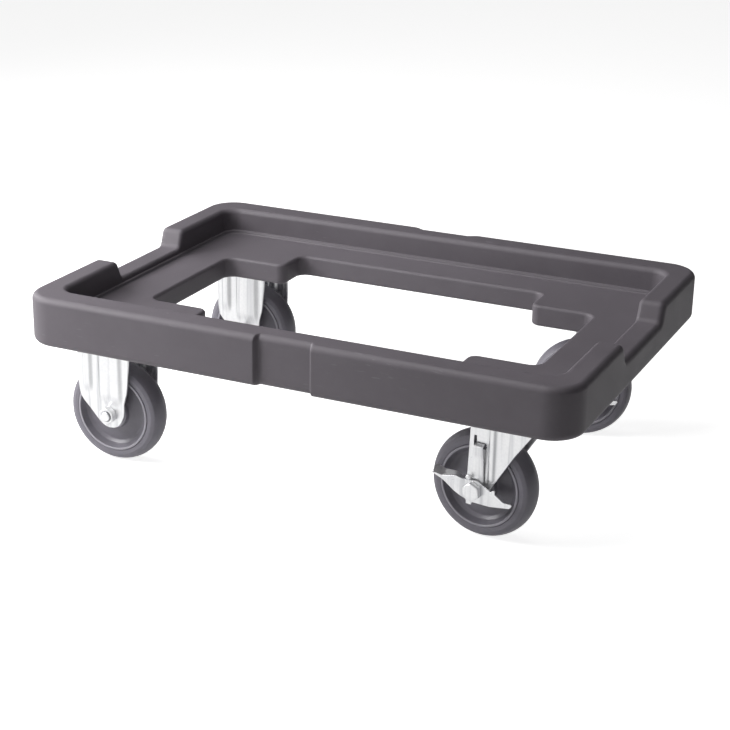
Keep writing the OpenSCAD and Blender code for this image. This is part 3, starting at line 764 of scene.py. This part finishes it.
for c in ("fl", "rl", "fr", "rr"):
    rigid = c in ("fl", "rl")
    base = PLACES[c] @ Matrix.Translation(Vector((0 if rigid else -35, 0, WHEEL_R)) * MM)
    head_at = LEG_OUT if rigid else 30.3
    turn_head = base @ (TO_REAR if rigid else TO_FRONT) @ Matrix.Rotation(math.radians(14 if rigid else 6), 4, "Z")
    turn_nut = base @ (TO_FRONT if rigid else TO_REAR) @ Matrix.Rotation(math.radians(9 if rigid else 20), 4, "Z")
    head = hex_solid("head", AXLE_AF, [
        (head_at, 6.0), (head_at, 9.3), (head_at + 0.45, 9.4), (head_at + 0.6, 12), (head_at + 5.9, 12),
        (head_at + 6.6, 10.35), (head_at + 7.15, 9.35), (head_at + HEAD_H, 8.7), (head_at + HEAD_H, 5.0),
        (head_at + HEAD_H, 0.2)], turn_head)
    reach = LEG_OUT + NUT_H + TAIL
    shank_rows = ([(0.01, -head_at - 0.1), (6.0, -head_at - 0.1)] + thread_profile(LEG_OUT - 6, reach, 6.0)
                  + [(0.01, reach)])
    shank = lathe("shank", shank_rows, turn_nut, 64)
    # Painted shade: the head's hexagon sides and the bolt's threaded end are marked 0.9, so they take the dark zinc
    # colour.
    for made, low, high in ((shank, LEG_OUT + NUT_H - 3, reach - 0.6), (head, head_at + 0.7, head_at + 6.0)):
        height = np.array([v.co.z for v in made.data.vertices]) / MM
        layer = made.data.attributes.new("painted_shade", "FLOAT", "POINT")
        layer.data.foreach_set("value", np.where((height > low) & (height < high), 0.9, 0.0).astype(np.float32))
    bolt = join(f"axle_bolt_{c}_steel", [head, shank])
    nut = hex_solid(f"axle_nut_{c}_steel", AXLE_AF, [
        (LEG_OUT + 0.9, 6.05), (LEG_OUT, 6.9), (LEG_OUT, 9.3), (LEG_OUT + 0.35, 9.8), (LEG_OUT + 1.1, 12),
        (LEG_OUT + NUT_H - 1.7, 12), (LEG_OUT + NUT_H - 0.9, 10.4), (LEG_OUT + NUT_H - 0.25, 9.2),
        (LEG_OUT + NUT_H, 8.7), (LEG_OUT + NUT_H, 7.0), (LEG_OUT + NUT_H - 0.9, 6.05)], turn_nut, bore=6.05)
    for made, node in ((bolt, f"axle_bolt_{c}"), (nut, f"axle_nut_{c}")):
        made.data.materials.append(zinc_plate)
        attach(made, "frame" if rigid else f"swivel_{c}")
        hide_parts(node)

# ---------------------------------------------------------------------------------------------
# Axle tubes, hub washers and rollers: the hub turns on a full set of ground steel rollers round
# a tube that the bolt clamps between the legs. The washers close the hub's ends.
# ---------------------------------------------------------------------------------------------
bearing_steel, tree, surface = new_material("ground_bearing_steel")
cloud = use_group(tree, uneven_group, Large_size=60.0, Small_size=500.0, Seed=7.0)
wire(tree, (tint(tree, cloud.outputs[0], (0.42, 0.42, 0.43), (0.62, 0.62, 0.63)), surface.inputs["Base Color"]),
     (spread(tree, cloud.outputs[0], 0.16, 0.30), surface.inputs["Roughness"]))
surface.inputs["Metallic"].default_value = 1.0
relief(tree, surface, cloud.outputs[0], 0.06, 0.0001)
for c in ("fl", "rl", "fr", "rr"):
    finish_node(f"axle_tube_{c}", zinc_plate)
    finish_node(f"hub_washers_{c}", zinc_plate)
    finish_node(f"wheel_rollers_{c}", bearing_steel)

# ---------------------------------------------------------------------------------------------
# Wheels: a grey nylon core, moulded with a rim ring, a dished web and a long hub, and a softer
# grey rubber tyre moulded on, with a rounded tread and a fine parting line round its middle.
# ---------------------------------------------------------------------------------------------
def both_sides(half):
    """A closed section from the half of it on the positive side."""
    return list(half) + [(r, -y) for r, y in reversed(half)]


CROWN_CENTRE, CROWN_R = 39.46, 24
core_half = rounded([
    (12.1, -30), (12.1, 17.2, 0.0), (12.7, 17.8, 0.0), (17.6, 18.0, 0.8), (19.3, 16.8, 1.2), (20.6, 10.2, 2.8),
    (38.4, 6.4, 3.2), (42.4, 9.6, 3.2), (45.4, 15.0, 1.0), (46.1, 16.95, 0.9), (48.2, 16.95, 0.9), (49.0, 15.6, 0.3),
    (49.0, -30)], 4)
core_section = both_sides([p for p in core_half if p[1] > 0])
crown = [(CROWN_CENTRE + math.sqrt(CROWN_R ** 2 - y * y), y) for y in np.linspace(0.6, 14.4, 14)]
tyre_half = rounded([(49.05, -5), (49.05, 15.55, 0.3), (50.2, 16.0, 0.4), (54.4, 15.95, 3.0)]
                    + [(r, y) for r, y in reversed(crown)] + [(63.3, 0.35), (63.15, 0.0001), (49.05, -5)], 5)
tyre_section = both_sides([p for p in tyre_half if p[1] > 0])


def paint_ring_highlight(obj):
    """Stores a painted highlight on the raised ring of the rim: 1 on its top, 0 elsewhere."""
    at = np.empty(len(obj.data.vertices) * 3)
    obj.data.vertices.foreach_get("co", at)
    high = np.abs(at[2::3]) / MM
    layer = obj.data.attributes.new("rub_wear_and_highlight", "FLOAT", "POINT")
    layer.data.foreach_set("value", soft_step(high, 16.0, 16.8).astype(np.float32))


core_plastic, tree, surface = new_material("moulded_grey_nylon")
cloud = use_group(tree, uneven_group, Large_size=26.0, Small_size=160.0, Seed=2.0)
# Painted highlight: a point attribute on the top of the rim ring mixes the core colour towards light grey.
ring = shader(tree, "Attribute", attribute_name="rub_wear_and_highlight")
ring_highlight_mix = shader(tree, "Mix", data_type="RGBA")
ring_highlight_mix.inputs[7].default_value = (0.40, 0.385, 0.43, 1)
wire(tree, (tint(tree, cloud.outputs[0], (0.180, 0.170, 0.198), (0.215, 0.204, 0.235)), ring_highlight_mix.inputs[6]),
     (ring.outputs["Fac"], ring_highlight_mix.inputs[0]), (ring_highlight_mix.outputs[2], surface.inputs["Base Color"]),
     (spread(tree, cloud.outputs[0], 0.30, 0.42), surface.inputs["Roughness"]))
grain = use_group(tree, mould_grain_group, Grain_size=1500.0, Wave_size=60.0, Wave_share=0.8)
relief(tree, surface, grain.outputs[0], 0.15, 0.0002)

tyre_rubber, tree, surface = new_material("grey_rubber")
cloud = use_group(tree, uneven_group, Large_size=34.0, Small_size=240.0, Seed=3.0)
marks = use_group(tree, scuffs_group, Size=90.0, Amount=0.35, Stretch=(1.0, 6.0, 1.0))
rubber_colour = tint(tree, cloud.outputs[0], (0.200, 0.189, 0.222), (0.240, 0.228, 0.264))
dusty = shader(tree, "Mix", data_type="RGBA")
dusty.inputs[7].default_value = (0.32, 0.31, 0.33, 1)
wire(tree, (marks.outputs[0], dusty.inputs[0]), (rubber_colour, dusty.inputs[6]),
     (dusty.outputs[2], surface.inputs["Base Color"]),
     (spread(tree, cloud.outputs[0], 0.36, 0.50), surface.inputs["Roughness"]))
grain = use_group(tree, mould_grain_group, Grain_size=1200.0, Wave_size=50.0, Wave_share=0.8)
relief(tree, surface, grain.outputs[0], 0.14, 0.0002)

for c in ("fl", "rl", "fr", "rr"):
    base = PLACES[c] @ Matrix.Translation(Vector((0 if c in ("fl", "rl") else -35, 0, WHEEL_R)) * MM)
    core = lathe(f"wheel_core_{c}_moulding", core_section, base @ TO_FRONT, 144)
    paint_ring_highlight(core)
    tyre = lathe(f"tyre_{c}_rubber", tyre_section, base @ TO_FRONT, 160)
    for made, node, material, slot in ((core, f"wheel_core_{c}", core_plastic, "core_plastic"),
                                       (tyre, f"tyre_{c}", tyre_rubber, "tyre_rubber")):
        made.data.materials.append(material)
        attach(made, f"wheel_{c}")
        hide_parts(node)

# ---------------------------------------------------------------------------------------------
# Swivel heads: a mounting plate, a riveted kingpin and a lower race cap stay with the frame. Two
# rings of greased balls carry the fork's crown, and a black nylon ring keeps the dust out.
# ---------------------------------------------------------------------------------------------
seal_nylon, tree, surface = new_material("black_nylon")
cloud = use_group(tree, uneven_group, Large_size=60.0, Small_size=300.0, Seed=5.0)
wire(tree, (tint(tree, cloud.outputs[0], (0.014, 0.014, 0.016), (0.028, 0.028, 0.030)), surface.inputs["Base Color"]),
     (spread(tree, cloud.outputs[0], 0.38, 0.55), surface.inputs["Roughness"]))
relief(tree, surface, cloud.outputs[0], 0.1, 0.0002)
CROWN_TOP = 145.9
for c in ("fr", "rr"):
    plate = mounting_plate(f"swivel_plate_{c}_steel", at(CASTER_X, CASTER_Y * (-1 if c == "fr" else 1), 0))
    plate.data.materials.append(zinc_plate)
    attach(plate, "frame")
    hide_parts(f"swivel_plate_{c}")
    ring = lathe(f"dust_ring_{c}_nylon", rounded([
        (29.0, CROWN_TOP + 0.1), (31.5, CROWN_TOP + 0.1, 0.5), (31.5, CROWN_TOP + 5.6, 1.5),
        (30.4, CROWN_TOP + 7.6, 0.4), (29.0, CROWN_TOP + 7.6)], 4), PLACES[c], 120)
    ring.data.materials.append(seal_nylon)
    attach(ring, f"swivel_{c}")
    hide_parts(f"dust_ring_{c}")
    for node in (f"kingpin_{c}", f"race_cap_{c}"):
        finish_node(node, zinc_plate)
    for node in (f"upper_balls_{c}", f"lower_balls_{c}"):
        finish_node(node, bearing_steel)

# ---------------------------------------------------------------------------------------------
# Swivel forks: a pressed crown folded down into two legs that lean back to the axle, in the same
# zinc-plated steel. Each leg has one long rib, and the front leg a slot for the brake's hook.
# ---------------------------------------------------------------------------------------------
def swivel_press(u, z):
    return RIB * bump_band(u, 15.2, 21.6, 2.6) * soft_step(z, 9, 15)


SWIVEL_LEFT = [(0, -13.8), (-4.2, -13.1), (-8.2, -11), (-11.2, -7.6), (-12.6, -3.4), (-12.3, 8), (-11.9, 14.5),
               (-9.9, 70), (-9.7, 83)]
SWIVEL_RIGHT = [(0, -13.8), (5.6, -12.7), (9.6, -10), (12.2, -6.4), (14.2, -2), (18.7, 5.1), (30.0, 23.4),
                (45.4, 48.7), (56.0, 64.0), (63.6, 75.0), (66, 79.4), (66, 83)]
swivel_foot = [-13.8, -13.72, -13.45, -13.0, -12.4, -11.6, -10.5, -9.2, -7.6]
swivel_heights = swivel_foot + list(np.linspace(-6, 76, 48)) + [78, 79.4, 80.2, 81.0, 81.7, 82.1, 82.4]
crown_line = rounded([(-47, -22.8, 4), (-26, -22.8, 10), (-20, -29, 12), (0, -35, 20), (20, -29, 16), (31, -21, 8),
                      (31, 21, 8), (20, 29, 16), (0, 35, 20), (-20, 29, 12), (-26, 22.8, 10), (-47, 22.8, 4)], 8)
for c in ("fr", "rr"):
    wheel_place = PLACES[c] @ Matrix.Translation(Vector((-35, 0, WHEEL_R)) * MM)
    plus = pressed_leg("leg", SWIVEL_LEFT, SWIVEL_RIGHT, swivel_heights, swivel_press, wheel_place, 80, 2.6)
    minus = pressed_leg("leg", SWIVEL_LEFT, SWIVEL_RIGHT, swivel_heights, swivel_press,
                        wheel_place @ SIDE_FLIP, 80, 2.6)
    slot_line = rounded([(-4.8, 49.2, 1.0), (11.2, 49.2, 1.0), (11.2, 55.2, 1.0), (-1.4, 55.2, 0.6),
                         (-1.4, 63.2, 1.4), (-4.8, 63.2, 1.4)], 4)
    cutter = slab("cutter", slot_line, 15.0, 30.0, wheel_place @ TO_FRONT, 0.01, 1)
    cut = minus.modifiers.new("slot", "BOOLEAN")
    cut.object, cut.operation, cut.solver = cutter, "DIFFERENCE", "EXACT"
    minus.modifiers.remove(minus.modifiers["even_flats"])
    bpy.context.view_layer.update()
    minus = baked(minus)
    bpy.data.objects.remove(cutter)
    crown_sheet = slab("crown", crown_line, CROWN_TOP - SHEET, CROWN_TOP, PLACES[c], 0.9, 3)
    fork = join(f"swivel_fork_{c}_steel", [plus, minus, crown_sheet])
    face_outwards(fork)
    fork.data.materials.append(zinc_plate)
    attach(fork, f"swivel_{c}")
    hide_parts(f"swivel_fork_{c}")

# ---------------------------------------------------------------------------------------------
# Brake straps: a 1.5 mm steel strip whose lower end sits on the axle bolt and whose top is bent
# through the fork leg, so that it swings in towards the tyre's side when the pedal goes down.
# ---------------------------------------------------------------------------------------------
STRAP_OFF, STRAP_T, STRAP_MID, STRAP_W, HOOK_Z = 24.75, 1.5, 3.8, 12.0, 54.3
HOOK_BEND, STRAP_FOOT_R, STRAP_LEAN = 3.2, 10.4, 3.0
for c in ("fr", "rr"):
    wheel_place = PLACES[c] @ Matrix.Translation(Vector((-35, 0, WHEEL_R)) * MM)
    hinge = wheel_place @ Matrix.Translation(Vector((0, -STRAP_OFF, 0)) * MM)
    hinge = hinge @ Matrix.Rotation(math.radians(STRAP_LEAN), 4, "X")
    path = [(0.0, -10.3), (0.0, 0.0), (0.0, 20.0), (-0.4, 38.0), (-1.2, 43.0)]
    for a in np.radians(np.linspace(0, 90, 9)):
        path.append((HOOK_BEND * (1 - math.cos(a)) - 1.4, HOOK_Z - HOOK_BEND + HOOK_BEND * math.sin(a)))
    path.append((7.0, HOOK_Z))
    path = np.array(path)
    along = np.gradient(path, axis=0)
    along /= np.linalg.norm(along, axis=1)[:, None]
    side = np.stack([-along[:, 1], along[:, 0]], 1) * STRAP_T / 2
    rows = []
    for (y, z), (sy, sz) in zip(path, side):
        lug = math.sqrt(max(0.0, STRAP_FOOT_R ** 2 - z * z)) if z < 3 else 0.0
        narrow = STRAP_W / 2 - (0.35 if z > 45 else 0.0)
        u0, u1 = STRAP_MID - narrow, STRAP_MID + narrow
        if z < 3:
            u0, u1 = min(u0, -lug) if z > -10 else -1.5, max(u1, lug) if z > -10 else 1.5
            if z <= 0 and z > -10:
                u0, u1 = -STRAP_FOOT_R, STRAP_FOOT_R
        rows.append(np.array([[u0, y + sy, z + sz], [u0 + 0.3, y + sy, z + sz], [u1 - 0.3, y + sy, z + sz],
                              [u1, y + sy, z + sz], [u1, y - sy, z - sz], [u1 - 0.3, y - sy, z - sz],
                              [u0 + 0.3, y - sy, z - sz], [u0, y - sy, z - sz]]))
    verts = np.concatenate(rows)
    faces = net(rows, close_rows=False) + [tuple(range(8)), tuple(range(len(verts) - 8, len(verts)))]
    strap = piece(f"brake_strap_{c}_steel", verts * MM, faces, smooth=False, weighted=False)
    strap.matrix_world = hinge
    soften = strap.modifiers.new("edges", "BEVEL")
    soften.width, soften.segments, soften.limit_method = 0.3 * MM, 2, "ANGLE"
    soften.angle_limit = math.radians(50)
    strap = baked(strap)
    strap.modifiers.new("even_flats", "WEIGHTED_NORMAL").weight = 100
    strap.data.materials.append(zinc_plate)
    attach(strap, f"strap_{c}")
    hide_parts(f"brake_strap_{c}")

# ---------------------------------------------------------------------------------------------
# Brake pedals: a two-winged lever cut from 2 mm steel, turning on the axle bolt. The left wing's
# top is folded in as a tread for the foot; a stub pin above the axle limits its travel.
# ---------------------------------------------------------------------------------------------
PEDAL_IN, PEDAL_OUT = 28.0, 30.0
pedal_line = rounded([
    (-53, 10.2, 0.8), (-46, 9.6, 3), (-39.4, 8.6, 3), (-22.6, 12.6, 6), (-12.8, 10.6, 4), (2.7, 12.0, 8),
    (12.5, 7.5, 4), (21.6, 3.2, 0.8), (25.4, 6.1, 0.5), (26.6, 5.4, 0.5), (26.6, 1.5, 1.5), (38, -5.8, 5),
    (46.6, -5.4, 0.8),
    (47.9, -6.8, 0.6), (45.2, -10.8, 2.5), (20.6, -14.6, 8), (-1.6, -14.4, 3), (-2.0, -17.8, 0.6), (-8.4, -17.6, 0.6),
    (-8.8, -12.6, 2), (-16.7, -9.9, 5), (-24.2, -6.2, 6), (-38, 3.4, 6), (-50.5, 8.3, 1)], 5)
for c in ("fr", "rr"):
    wheel_place = PLACES[c] @ Matrix.Translation(Vector((-35, 0, WHEEL_R)) * MM)
    lever = slab("lever", pedal_line, PEDAL_IN, PEDAL_OUT, wheel_place @ TO_FRONT, 0.35)
    rows = []
    for u in np.linspace(-52.2, -11.0, 26):
        t = (u + 52.2) / 41.2
        top = float(np.interp(u, [-53, -46, -39.4, -22.6, -12.8, -10], [10.2, 9.6, 8.6, 12.6, 10.6, 10.6]))
        deep = 9.0 - 6.0 * t + (-2.5 if t < 0.04 else 0.0)
        inner_edge = -PEDAL_IN + deep
        lift = 6.0 * (1 - t) ** 0.7
        rows.append(np.array([
            [u, -PEDAL_OUT + 0.4, top - 1.6], [u, -PEDAL_OUT + 0.25, top - 0.5], [u, -PEDAL_OUT + 0.8, top + 0.2],
            [u, -PEDAL_OUT + 1.9, top + 0.45], [u, inner_edge - 0.4, top + 0.45 + lift], [u, inner_edge, top + lift],
            [u, inner_edge - 0.2, top - 1.1 + lift], [u, -PEDAL_OUT + 2.2, top - 1.3], [u, -PEDAL_IN, top - 1.9]]))
    verts = np.concatenate(rows)
    faces = net(rows, close_rows=False) + [tuple(range(9)), tuple(range(len(verts) - 9, len(verts)))]
    tread = piece("tread", verts * MM, faces)
    tread.matrix_world = wheel_place
    collar = lathe("collar", rounded([(6.3, 26.4), (9.0, 26.4, 0.3), (9.0, 28.4), (6.3, 28.4)], 3),
                   wheel_place @ TO_FRONT, 64)
    pin = lathe("pin", rounded([(0.01, 27.0), (2.2, 27.0), (2.2, 29.6), (3.2, 29.8, 0.4), (3.2, 31.4, 1.3),
                                (1.4, 32.1, 0.6), (0.01, 32.1)], 4),
                wheel_place @ Matrix.Translation(Vector((-6.0, 0, 14.6)) * MM) @ TO_FRONT, 40)
    pedal = join(f"brake_pedal_{c}_steel", [lever, tread, collar, pin])
    face_outwards(pedal)
    pedal.data.materials.append(zinc_plate)
    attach(pedal, f"pedal_{c}")
    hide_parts(f"brake_pedal_{c}")

# ---------------------------------------------------------------------------------------------
# Studio: a pale floor that runs out of sight, two soft lights on the left, one overhead, and a
# surround that is bright only towards the near left. None of it is part of the dolly.
# ---------------------------------------------------------------------------------------------
floor = piece("studio_floor", [(-9, -9, 0), (9, -9, 0), (9, 9, 0), (-9, 9, 0)], [(0, 1, 2, 3)], weighted=False)
floor_paint, tree, surface = new_material("pale_floor_paint")
cloud = use_group(tree, uneven_group, Large_size=0.7, Small_size=6.0)
wire(tree, (tint(tree, cloud.outputs[0], (0.78, 0.78, 0.78), (0.82, 0.82, 0.82)), surface.inputs["Base Color"]))
surface.inputs["Roughness"].default_value = 0.9
surface.inputs["Specular IOR Level"].default_value = 0.1
glow = shader(tree, "Emission", Strength=0.85)
unlit = shader(tree, "Emission", Strength=0.0)
mirrored = shader(tree, "Emission", Strength=0.62)
half_lit = tree.nodes.new("ShaderNodeMixShader")
half_lit.inputs[0].default_value = 0.5
even = tree.nodes.new("ShaderNodeAddShader")
ray = tree.nodes.new("ShaderNodeLightPath")
lift = tree.nodes.new("ShaderNodeMixShader")
total = tree.nodes.new("ShaderNodeAddShader")
by_ray = tree.nodes.new("ShaderNodeMixShader")
out = [n for n in tree.nodes if n.type == "OUTPUT_MATERIAL"][0]
wire(tree, (ray.outputs["Is Camera Ray"], lift.inputs[0]), (unlit.outputs[0], lift.inputs[1]),
     (glow.outputs[0], lift.inputs[2]), (surface.outputs[0], total.inputs[0]), (lift.outputs[0], total.inputs[1]),
     (surface.outputs[0], half_lit.inputs[1]), (unlit.outputs[0], half_lit.inputs[2]),
     (half_lit.outputs[0], even.inputs[0]), (mirrored.outputs[0], even.inputs[1]),
     (ray.outputs["Is Glossy Ray"], by_ray.inputs[0]), (total.outputs[0], by_ray.inputs[1]),
     (even.outputs[0], by_ray.inputs[2]), (by_ray.outputs[0], out.inputs["Surface"]))
floor.data.materials.append(floor_paint)


def soft_light(name, place, look, size, power, colour=(1, 1, 1)):
    data = bpy.data.lights.new(name, "AREA")
    data.shape, data.size, data.size_y = "RECTANGLE", size[0], size[1]
    data.energy, data.color = power, colour
    lamp = bpy.data.objects.new(name, data)
    bpy.context.scene.collection.objects.link(lamp)
    lamp.location = place
    lamp.rotation_euler = (Vector(look) - Vector(place)).to_track_quat("-Z", "Y").to_euler()
    return lamp


soft_light("near_left_softbox", (-0.95, -0.75, 0.8), (-0.2, 0.0, 0.12), (0.6, 0.6), 13.0)
soft_light("far_left_softbox", (-1.7, 0.1, 0.9), (0.0, 0.0, 0.12), (1.0, 1.0), 17.0)
soft_light("overhead_softbox", (-0.55, -0.35, 1.8), (-0.1, -0.1, 0.12), (1.3, 1.3), 16.5)
world = bpy.data.worlds.new("surround")
bpy.context.scene.world = world
world.use_nodes = True
tree = world.node_tree
tree.nodes.clear()
direction = shader(tree, "TexCoord")
towards = shader(tree, "VectorMath", operation="DOT_PRODUCT")
towards.inputs[1].default_value = (-0.45, -0.74, 0.50)
wall = shader(tree, "MapRange", interpolation_type="SMOOTHSTEP")
for key, number in (("From Min", -0.15), ("From Max", 0.75), ("To Min", 0.02), ("To Max", 1.15)):
    wall.inputs[key].default_value = number
dim = shader(tree, "Background", Strength=0.05)
bright = shader(tree, "Background")
ray = tree.nodes.new("ShaderNodeLightPath")
by_ray = tree.nodes.new("ShaderNodeMixShader")
out = tree.nodes.new("ShaderNodeOutputWorld")
wire(tree, (direction.outputs["Generated"], towards.inputs[0]), (towards.outputs["Value"], wall.inputs["Value"]),
     (wall.outputs[0], bright.inputs["Strength"]), (ray.outputs["Is Glossy Ray"], by_ray.inputs[0]),
     (dim.outputs[0], by_ray.inputs[1]), (bright.outputs[0], by_ray.inputs[2]),
     (by_ray.outputs[0], out.inputs["Surface"]))
bpy.context.scene.view_settings.view_transform = "Standard"

# ---------------------------------------------------------------------------------------------
# Camera: a long lens, a little above the dolly and to the right of its front.
# ---------------------------------------------------------------------------------------------
FOCAL, YAW, PITCH, ROLL = 85.87, 26.28, 20.79, 0.44
yaw, pitch, roll = (math.radians(a) for a in (YAW, PITCH, ROLL))
ahead = Vector((-math.sin(yaw) * math.cos(pitch), math.cos(yaw) * math.cos(pitch), -math.sin(pitch)))
right = Vector((math.cos(yaw), math.sin(yaw), 0))
up = right.cross(ahead)
right, up = right * math.cos(roll) + up * math.sin(roll), up * math.cos(roll) - right * math.sin(roll)
lens = bpy.data.cameras.new("product_camera")
lens.lens, lens.sensor_width = FOCAL, 36.0
lens.shift_x, lens.shift_y = 0.0616, 0.0068
lens.clip_start, lens.clip_end = 0.05, 50.0
camera = bpy.data.objects.new("product_camera", lens)
bpy.context.scene.collection.objects.link(camera)
camera.matrix_world = Matrix((
    (right.x, up.x, -ahead.x, 0.84046), (right.y, up.y, -ahead.y, -1.83977), (right.z, up.z, -ahead.z, 0.8678),
    (0, 0, 0, 1)))
bpy.context.scene.camera = camera
